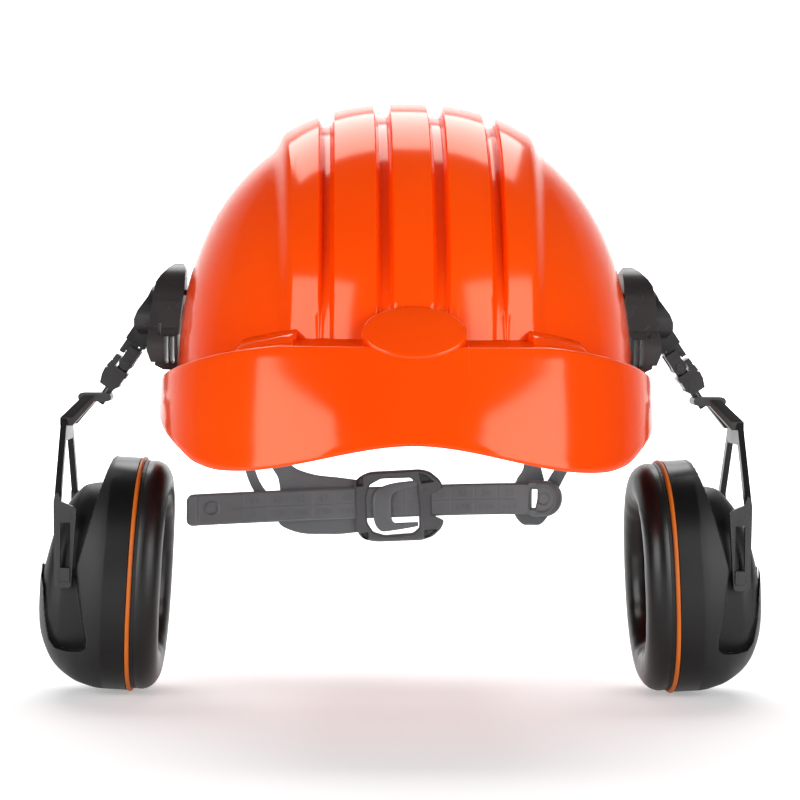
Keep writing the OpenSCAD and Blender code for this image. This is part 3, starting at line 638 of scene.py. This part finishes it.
def cup_mesh(name):
    ts = np.concatenate([[0, 0.25], np.linspace(0.8, 38.5, 84), np.linspace(39, 43.2, 14)])
    a = even_angles(600, HALF_W, HALF_H, HALF_H)
    outer = stepped(ts, a, 0, 0.5, 1.7)
    outer[0, :, 1:] *= (HALF_W - 0.5) / HALF_W
    verts = list(outer.reshape(-1, 3))
    m, n = outer.shape[:2]
    faces = grid_faces(m, n, False, True) + [[(m - 1) * n + k for k in range(n)]]
    inner_ts = np.concatenate([np.linspace(0, 38.5, 22), [40.2]])
    inner = stepped(inner_ts, a[::4], CUP_WALL, 4.0, 3.0)
    start = len(verts)
    verts += list(inner.reshape(-1, 3))
    mi, ni = inner.shape[:2]
    faces += [f[::-1] for f in grid_faces(mi, ni, False, True, start)]
    faces.append([start + (mi - 1) * ni + k for k in range(ni - 1, -1, -1)])
    for k in range(ni):
        k2 = (k + 1) % ni
        outline = [(4 * k + q) % n for q in range(5)]
        faces.append([start + k2, start + k] + outline)
    obj = new_object(name, cup_frame(np.array(verts)), faces, sharp=60)
    # the smooth band beside the trim ring ends at a soft moulded line
    co = np.zeros(len(obj.data.vertices) * 3)
    obj.data.vertices.foreach_get("co", co)
    co = co.reshape(-1, 3) / MM
    attr = obj.data.attributes.new("band", "FLOAT", "POINT")
    attr.data.foreach_set("value", band_value(co).astype(np.float32))
    return obj


def to_cup(p):
    """From the row frame back to the cup's own frame."""
    p = np.asarray(p, float)
    x, y = p[..., 0] - HEAD_X, p[..., 1] - MUFF_Y
    c, s = math.cos(TOE), math.sin(TOE)
    x, y = x * c + y * s + HEAD_X, -x * s + y * c
    x, z = x - RING_X, p[..., 2] - RING_Z
    c, s = math.cos(LEAN), math.sin(LEAN)
    return np.stack([x * c + z * s, y, -x * s + z * c], -1)


def band_value(p):
    q = to_cup(p)
    return 1 - ease((q[..., 0] - 10.5) / 0.8)


cup = cup_mesh("left_cup_shell")
both(cup, "cup_shell", "muff", "cup_plastic", "cup")


def oval_ring(profile, half_w, half_h, steps=180):
    """Closed ring round the cup's outline; profile holds (distance from the rim, inset) pairs."""
    rings = []
    for q in even_angles(steps, half_w, half_h, half_h):
        c, s = float(spow(np.cos(q), 2 / N)), float(spow(np.sin(q), 2 / N))
        rings.append([[x, (half_w - inset) * c, (half_h - inset) * s] for x, inset in profile])
    return cup_frame(np.array(rings))


ring_profile = [(-1.9, 0.5), (-1.6, 0.1), (-1.0, -0.1), (-0.4, 0.1), (-0.1, 0.5), (-0.1, 5), (-1.9, 5)]
ring = loop_object("left_trim_ring", oval_ring(ring_profile, HALF_W + 0.4, HALF_H + 0.4), sharp=50)
both(ring, "trim_ring", "muff", "ring_plastic", "ring")


def cushion_rings():
    """Plump ring round the ear: full flank, rounded crest, and a roll that turns down into the opening."""
    section = np.array([
        [-2.2, 2.6], [-3.0, 1.6], [-4.0, 1.0], [-6.0, 0.8], [-8.2, 1.2], [-10.6, 2.4], [-12.5, 4.4], [-13.7, 7.2],
        [-14.0, 10.0], [-13.7, 12.6], [-12.7, 15.0], [-10.8, 16.9], [-8.2, 18.0], [-5.8, 18.3], [-3.8, 18.0], [-2.2, 17.4]])
    ks = np.linspace(0, 1, len(section))
    dense = np.linspace(0, 1, 61)
    px, pi = smooth_table(ks, section[:, 0]), smooth_table(ks, section[:, 1])
    rng = np.random.default_rng(7)
    waves = [(k, rng.uniform(0, 2 * math.pi), rng.uniform(0.4, 1.0)) for k in (5, 9, 14, 23)]
    rings = []
    for q in even_angles(240, HALF_W, HALF_H, HALF_H):
        ripple = sum(w * math.sin(k * q + ph) for k, ph, w in waves) * 0.07
        ring = []
        for d in dense:
            x, inset = float(px(d)), float(pi(d))
            crest = math.exp(-((d - 0.72) / 0.16) ** 2)
            x -= ripple * crest
            w = HALF_W - inset - 0.6 * ripple * crest
            h = HALF_H - inset * 21 / 19 - 0.6 * ripple * crest
            ring.append([x, w * float(spow(np.cos(q), 2 / N)), h * float(spow(np.sin(q), 2 / N))])
        rings.append(ring)
    return cup_frame(np.array(rings))


cushion = loop_object("left_ear_cushion", cushion_rings(), sharp=60)
for obj in both(cushion, "ear_cushion", "muff", "cushion_skin", "cushion"):
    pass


# --- nape strap, buckle and arms -----------------------------------------------------------

STRAP_Y, STRAP_H, TAIL, STRAP_END = 90.0, 15.4, -102.0, 65.0
STRAP_SLOPE = 0.041
KNUCKLE_X = 66.0


def strap_y(x):
    x = np.asarray(x, float)
    return STRAP_Y - np.maximum(0, np.abs(x) - 22) ** 2 / (2 * np.where(x > 0, 89.0, 350.0))


def strap_z(x):
    return -65.9 + STRAP_SLOPE * np.asarray(x, float)


def strap_band():
    """Free tail, lip and button at one end, and a faint moulded scale along its face."""
    xs = np.concatenate([TAIL + 3.4 * (1 - np.cos(np.linspace(0.05, math.pi / 2, 9))), np.arange(TAIL + 3.8, STRAP_END, 0.42)])
    q = np.linspace(-1, 1, 53)
    end = np.clip((xs - TAIL) / 3.4, 0, 1)
    half = STRAP_H / 2 - 3.4 * (1 - np.sqrt(1 - (1 - end) ** 2))
    x, v = np.meshgrid(xs, q, indexing="ij")
    z = v * half[:, None]
    border = np.minimum(STRAP_H / 2 - np.abs(z), (x - TAIL) * 1.2)
    thick = 1.0 - 0.75 * (1 - ease(border / 1.0))
    lip = 0.9 * ease((TAIL + 6.2 - x) / 1.4)
    r = np.hypot(x - TAIL - 12.2, z - 0.2)
    button = 0.35 * np.exp(-((r - 3.1) / 0.5) ** 2) - 0.3 * ease((3.0 - r) / 0.6)
    cells = np.exp(-((((x - 4.2) / 11.3 + 0.5) % 1.0 - 0.5) * 11.3 / 0.22) ** 2) * (np.abs(z) < 6.3)
    row = np.exp(-((z + 0.4) / 0.22) ** 2)
    scale = 0.2 * np.maximum(cells, row) * ((x > -80) & (x < 58))
    front = np.stack([x, strap_y(x) - thick - lip - button - scale, strap_z(x) + z], -1)
    back = np.stack([x, strap_y(x) + thick, strap_z(x) + z], -1)
    return new_object("nape_strap_band", *walled_data(front, back), sharp=50)


def numeral(text, size, x0, z0):
    """Shallow raised figures that follow the strap's face."""
    curve = bpy.data.curves.new("numeral", "FONT")
    curve.body, curve.size, curve.extrude, curve.align_x = text, size, 0.2, "CENTER"
    curve.resolution_u = 3
    obj = bpy.data.objects.new("numeral", curve)
    mesh = bpy.data.meshes.new_from_object(obj)
    verts = []
    for p in (v.co for v in mesh.vertices):
        x = x0 + p.x
        verts.append((x, float(strap_y(x)) - 1.0 - p.z, float(strap_z(x)) + z0 + p.y))
    faces = [list(f.vertices) for f in mesh.polygons]
    bpy.data.objects.remove(obj)
    bpy.data.curves.remove(curve)
    bpy.data.meshes.remove(mesh)
    return verts, faces


def strap_figures():
    data = []
    sizes = ("8", "7 7/8", "7 3/4", "7 5/8", "7 1/2", "7 3/8", "7 1/4", "7 1/8", "7", "6 7/8", "6 3/4", "6 5/8")
    for i, size in enumerate(sizes):
        x = 4.2 - 11.3 * (6.5 - i)
        data += [numeral(str(64 - i), 4.6, x, 1.6), numeral(size, 3.3, x, -4.6)]
    verts, faces = join_data(data)
    return new_object("strap_figures", verts, faces, sharp=40)


def ribbon(edge_a, edge_b, ys, thick=2.0, rows=72, square=4.5):
    """Flat moulded strip between two edges given as (x, z), at depth y."""
    k = np.arange(len(ys))
    t = np.linspace(0, len(ys) - 1, rows)
    a = np.stack([smooth_table(k, [p[i] for p in edge_a])(t) for i in (0, 1)], -1)
    b = np.stack([smooth_table(k, [p[i] for p in edge_b])(t) for i in (0, 1)], -1)
    y = smooth_table(k, ys)(t)
    ang = np.linspace(0, 2 * math.pi, 41)[:-1]
    u, v = spow(np.cos(ang), 2 / square), spow(np.sin(ang), 2 / square)
    mid, half = (a + b) / 2, (b - a) / 2
    xz = mid[:, None] + half[:, None] * u[None, :, None]
    return tube_data(np.stack([xz[..., 0], y[:, None] + thick / 2 * v + 0 * u, xz[..., 1]], -1))


def path_strip(points):
    """Strip along (x, z) points, each with its depth and half width."""
    p = np.array(points, float)
    d = np.gradient(p[:, :2], axis=0)
    n = np.stack([-d[:, 1], d[:, 0]], -1) / np.linalg.norm(d, axis=1)[:, None]
    return ribbon(p[:, :2] - n * p[:, 3:], p[:, :2] + n * p[:, 3:], p[:, 2])


def polar(outline, angles):
    """Distance from the origin to a star-shaped outline along each angle."""
    pts = np.asarray(outline, float)
    out = np.zeros_like(angles)
    for i, q in enumerate(angles):
        c, s = math.cos(q), math.sin(q)
        for (x0, z0), (x1, z1) in zip(pts, np.roll(pts, -1, axis=0)):
            dx, dz = x1 - x0, z1 - z0
            det = c * -dz + s * dx
            if abs(det) < 1e-9:
                continue
            r = (x0 * -dz + z0 * dx) / det
            f = (c * z0 - s * x0) / det
            if r > 0 and -1e-6 <= f <= 1 + 1e-6:
                out[i] = max(out[i], r)
    return out


def soften(r, width):
    """Rounds the corners of a polar outline by a running mean."""
    k = np.ones(width) / width
    return np.convolve(np.concatenate([r[-width:], r, r[:width]]), k, "same")[width:-width]


def framed_plate(outer, inner, depth, relief, across=26):
    """Plate with one window: rings between two polar outlines, rounded at both edges, with a relief on its face."""
    ang = np.linspace(0, 2 * math.pi, len(outer) + 1)[:-1]
    f = np.concatenate([[0.0], np.linspace(0.015, 0.985, across), [1.0]])
    w = np.abs(outer - inner)
    rings = []
    for side in (-1, 1):
        rows = []
        for g in (f if side < 0 else f[::-1]):
            r = outer + (inner - outer) * g
            x, z = r * np.cos(ang), r * np.sin(ang)
            edge = np.minimum(g, 1 - g) * w
            y = side * depth * (1 - 0.42 * (1 - ease(edge / 1.3)))
            if side < 0:
                y = y + relief(x, z)
            rows.append(np.stack([x, y, z], -1))
        rings += rows
    return np.array(rings).transpose(1, 0, 2)


def buckle_place(p):
    """Tips a piece drawn about the origin to the strap's slope and sets it round the strap."""
    p = np.asarray(p, float)
    x, z = p[..., 0] + 0.9 - STRAP_SLOPE * p[..., 2], p[..., 2] - 1.9 + strap_z(p[..., 0])
    return np.stack([x, p[..., 1] + STRAP_Y, z], -1)


def buckle_rings():
    ang = np.linspace(0, 2 * math.pi, 541)[:-1]
    outer = soften(polar([
        (22.3, 7.6), (21.2, 11.6), (16, 16.2), (11.5, 17.4), (-13, 17.0), (-18, 15.2), (-21, 12), (-21.2, 0),
        (-20.4, -12.4), (-17.4, -16), (-11, -17.3), (11, -17.3), (16.6, -15.6), (21.2, -11.4), (22.2, -7.8)], ang), 15)
    # the bar the strap leaves by stands back between the two ears
    from_bar = np.abs((ang + math.pi) % (2 * math.pi) - math.pi)
    away = ease((from_bar - math.radians(16.8)) / math.radians(3.4))
    outer = outer * away + np.minimum(outer, 16.4 / np.maximum(0.1, np.cos(ang))) * (1 - away)
    inner = soften(polar([
        (10, 0), (9.2, 10), (6.6, 13.4), (-8, 13.4), (-13.6, 10.6), (-15.4, 5), (-15.2, -8),
        (-12.6, -12.4), (-7, -14.2), (7, -13.6), (10, -11)], ang), 11)
    pockets = (
        [(-20.0, 13.8), (-16.6, 14.8), (-16.8, 10.4), (-20.2, 10.2)],
        [(10.6, 15.6), (13.6, 15.0), (17.8, 11.2), (11.6, 10.8)],
        [(-18.8, -12.9), (-15.0, -12.6), (-15.2, -16.0), (-17.2, -15.8)],
        [(12.6, -12.4), (19.0, -12.3), (15.2, -15.4), (12.4, -16.2)],
    )

    def relief(x, z):
        y = np.zeros_like(x)
        for poly in pockets:
            y = np.maximum(y, 3.6 * ease((inside(x, z, poly) + 0.15) / 0.55))
        for cz in (8.4, -9.2):
            y = y - 0.14 * np.exp(-((np.hypot(x - 13.2, z - cz) - 1.7) / 0.22) ** 2)
        return y

    return framed_plate(outer, inner, 2.4, relief, across=44)


finish_piece(strap_band(), "helmet", "strap_plastic", "nape_strap")
finish_piece(strap_figures(), "helmet", "strap_plastic")
buckle = loop_object("nape_buckle_frame", buckle_place(buckle_rings()), sharp=60)
finish_piece(buckle, "helmet", "buckle_plastic", "nape_buckle")

tongue_a = [
    (9.5, 12.2), (0, 11.5), (-6.9, 10), (-11.2, 7.0), (-12.5, 2),
    (-12.4, -4), (-11.4, -9), (-7.5, -12.4), (0, -11.7), (9.5, -10.4)]
tongue_b = [
    (9.5, 9.2), (4, 8.2), (-0.6, 7.0), (-3.0, 4.8), (-3.5, 1),
    (-3.5, -4), (-3.2, -6.4), (-1.6, -8.2), (3, -8.2), (9.5, -8.2)]
verts, faces = ribbon(tongue_a, tongue_b, [-1.6, -1.9, -2.2, -2.5, -2.6, -2.6, -2.5, -2.2, -1.9, -1.6], 1.3, 96, 3.0)
tongue = new_object("buckle_tongue_loop", buckle_place(np.array(verts)), faces, sharp=50)
finish_piece(tongue, "helmet", "strap_plastic", "buckle_tongue")

verts, faces = join_data([
    ribbon([(-18.6, -81.4), (-30, -82.4), (-42, -82.4), (-52, -80.4), (-57.6, -76), (-56.6, -66),
            (-57.6, -56), (-62, -47.5), (-65, -36), (-63.4, -18), (-60, 1)],
           [(-18.6, -55.6), (-28, -54.4), (-38, -53.4), (-44, -52), (-48.4, -50.4), (-51.4, -48.4),
            (-53.6, -46), (-56, -42.4), (-58.4, -34), (-56.6, -17), (-53, 1)],
           [92.9, 92.9, 92.8, 92.6, 92.4, 92, 91.2, 88.4, 84.2, 79, 76.6]),
    path_strip([(-50, -70, 93, 3.6), (-60, -67.5, 92.6, 3), (-67, -61, 91.6, 2.5), (-71, -52, 87, 2.4), (-73, -42, 79, 2.5),
                (-71.5, -28, 71, 2.6), (-68, -13, 66.4, 2.8), (-65.6, 1, 64.2, 3.2)])])
finish_piece(new_object("nape_arm_forked", verts, faces, sharp=50), "helmet", "strap_plastic", "nape_arm_right")

verts, faces = join_data([
    ribbon([(57.2, -56), (56.4, -66), (58.4, -72.8), (63, -76.6), (69, -76.6), (73.6, -72.6), (76, -66), (77, -58)][::-1],
           [(63.6, -54), (63, -62), (63.2, -68), (64.4, -70.4), (68, -70.4), (70, -68), (70.6, -62), (71.4, -55)][::-1],
           [85.8, 85.8, 85.6, 85.2, 84.8, 84, 83, 81.6][::-1]),
    ribbon([(57, -58.6), (58.6, -54), (61.6, -48.4), (62.6, -36), (58.6, -18), (53.4, -1)],
           [(72.6, -57.6), (71.8, -53.4), (70.4, -48.8), (68.2, -36), (63, -18), (59.4, -1)], [85.2, 84.6, 83.2, 82, 80.2, 77.6]),
    ribbon([(70.6, -60), (72.6, -55.6), (74.8, -51.4), (77.6, -45), (75.8, -35), (70, -17), (63, 1)],
           [(77, -62), (79.4, -57), (81.6, -52), (84.4, -45), (82.6, -35), (77, -17), (69.4, 1)],
           [82.4, 81, 79, 76.4, 72.2, 67, 64])])
finish_piece(new_object("nape_arm_lobed", verts, faces, sharp=50), "helmet", "strap_plastic", "nape_arm_left")


def knuckle_rings():
    """D-shaped end with the strap's slot and a raised rim round its face."""
    ang = np.linspace(0, 2 * math.pi, 361)[:-1]
    arc = [(6.2 + 8.4 * math.cos(q), 8.8 * math.sin(q)) for q in np.linspace(-1.35, 1.35, 25)]
    outer = soften(polar(arc + [(1, 8.9), (-1.8, 8.9), (-1.8, -7.6), (1, -8.9)], ang), 7)
    inner = soften(polar([(2.6, 0), (2.6, 4.6), (-0.7, 4.6), (-0.7, -4.4), (1.7, -4.4)], ang), 5)

    def relief(x, z):
        rim = -0.5 * np.exp(-((np.hypot(x - 5.4, z) - 7.0) / 0.9) ** 2) * ease((x - 1) / 3)
        return rim + 0.35 * ease((3.4 - np.hypot(x - 6.0, z)) / 1.0)

    p = framed_plate(outer, inner, 2.0, relief, across=22)
    c, s = math.cos(math.radians(-21)), math.sin(math.radians(-21))
    x, y, z = p[..., 0], p[..., 1], p[..., 2]
    depth = float(strap_y(KNUCKLE_X))
    return np.stack([KNUCKLE_X + x * c - y * s, depth + x * s + y * c, z + strap_z(KNUCKLE_X + x)], -1)


knuckle = loop_object("nape_end_loop", knuckle_rings(), sharp=60)
finish_piece(knuckle, "helmet", "strap_plastic", "nape_knuckle")


# --- CAD nodes that keep their own shape ---------------------------------------------------

# each with its material and its bevel's width
CARRIED = {
    "headband": ("strap_plastic", 0.4), "sweatband": ("sweat_foam", 1.2), "cradle_strap_a": ("webbing", 0.3),
    "cradle_strap_b": ("webbing", 0.3), "harness_clips": ("harness_plastic", 0.5), "nape_studs": ("harness_plastic", 0.4),
}
for side in ("left_", "right_"):
    for node, width in (("adaptor", 0.6), ("lock_tab", 0.2), ("swivel", 0.4), ("arm", 0.5), ("link", 0.4),
                        ("stem", 0.2), ("fork", 0.6), ("pegs", 0.3)):
        CARRIED[side + node] = ("arm_plastic", width)
    CARRIED[side + "plate"] = ("cup_plastic", 0.3)
    CARRIED[side + "foam"] = ("liner_foam", 1.0)
    CARRIED[side + "knuckle_pin"] = ("pin_steel", 0.2)
for node, (slot, width) in CARRIED.items():
    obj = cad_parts[node]
    obj.data.materials.clear()
    obj.data.materials.append(M[slot])
    for poly in obj.data.polygons:
        poly.material_index = 0
    bevel(obj, width)


# --- studio --------------------------------------------------------------------------------

floor_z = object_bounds()[0][2] - 0.001


def studio():
    """Pale floor that sweeps up into a bright backdrop."""
    xs = (-4.0, 4.0)
    section = [(-3.5, 0.0), (1.2, 0.0)]
    section += [(1.2 + 0.9 * math.sin(q), 0.9 * (1 - math.cos(q))) for q in np.linspace(0.1, math.pi / 2, 14)]
    section += [(2.1, 1.9)]
    verts = [(x / MM, y / MM, (floor_z + z) / MM) for y, z in section for x in xs]
    obj = new_object("studio_floor", verts, grid_faces(len(section), 2), sharp=80)
    mat, tree, p = nodes_of("studio_paper")
    c = tree.nodes.new("ShaderNodeTexCoord")
    sep = tree.nodes.new("ShaderNodeSeparateXYZ")
    link(tree, c, "Object", sep, "Vector")
    p.inputs["Base Color"].default_value = (0.92, 0.92, 0.92, 1)
    p.inputs["Roughness"].default_value = 0.9
    p.inputs["Specular IOR Level"].default_value = 0.0
    p.inputs["Emission Color"].default_value = (1, 1, 1, 1)
    rise = remap(tree, sep, "Y", 0.3, 1.1, 0.1, 1.9)
    fall = remap(tree, maths(tree, "ABSOLUTE", (sep, "X")), "Value", 1.0, 0.12, 0.55, 0.95)
    glow = maths(tree, "MULTIPLY", (rise, "Result"), (fall, "Result"))
    # it lights the part less than it shows, so the shell's edges keep their colour
    dim = remap(tree, tree.nodes.new("ShaderNodeLightPath"), "Is Camera Ray", 0.3, 1.0, 0, 1)
    link(tree, maths(tree, "MULTIPLY", (glow, "Value"), (dim, "Result")), "Value", p, "Emission Strength")
    obj.data.materials.append(mat)


def area(name, where, size, power, target=(0, 0, 0.0)):
    light = bpy.data.lights.new(name, "AREA")
    light.shape = "RECTANGLE"
    light.size, light.size_y = size
    light.energy = power
    obj = bpy.data.objects.new(name, light)
    obj.location = where
    obj.rotation_euler = (Vector(target) - Vector(where)).to_track_quat("-Z", "Y").to_euler()
    bpy.context.scene.collection.objects.link(obj)


studio()
area("softbox_left", (-0.86, -0.96, 0.18), (0.92, 0.86), 11)
area("softbox_right", (0.86, -0.96, 0.18), (0.92, 0.86), 11)
area("overhead", (0, 1.15, 1.45), (1.84, 1.5), 38, target=(0, 1.1, 0))

world = bpy.data.worlds.new("studio")
bpy.context.scene.world = world
world.use_nodes = True
world.node_tree.nodes["Background"].inputs[0].default_value = (1, 1, 1, 1)
world.node_tree.nodes["Background"].inputs[1].default_value = 0.09

bpy.context.scene.view_settings.view_transform = "Standard"

# Camera: a long lens in front, a little above, turned slightly off the middle plane
DISTANCE, ELEVATION, YAW, ROLL = 1.2, math.radians(2.5), math.radians(1.9), math.radians(0.5)
cam_data = bpy.data.cameras.new("camera")
cam_data.sensor_width = 36.0
cam_data.lens = 118.8
cam = bpy.data.objects.new("camera", cam_data)
aim = Vector((-0.0016, 0.0, -0.0122))
direction = Vector((-math.sin(YAW) * math.cos(ELEVATION), -math.cos(YAW) * math.cos(ELEVATION), math.sin(ELEVATION)))
cam.location = aim + direction * DISTANCE
quat = (-direction).to_track_quat("-Z", "Y")
cam.rotation_mode = "QUATERNION"
cam.rotation_quaternion = quat @ Quaternion((0, 0, 1), ROLL)
bpy.context.scene.collection.objects.link(cam)
bpy.context.scene.camera = cam
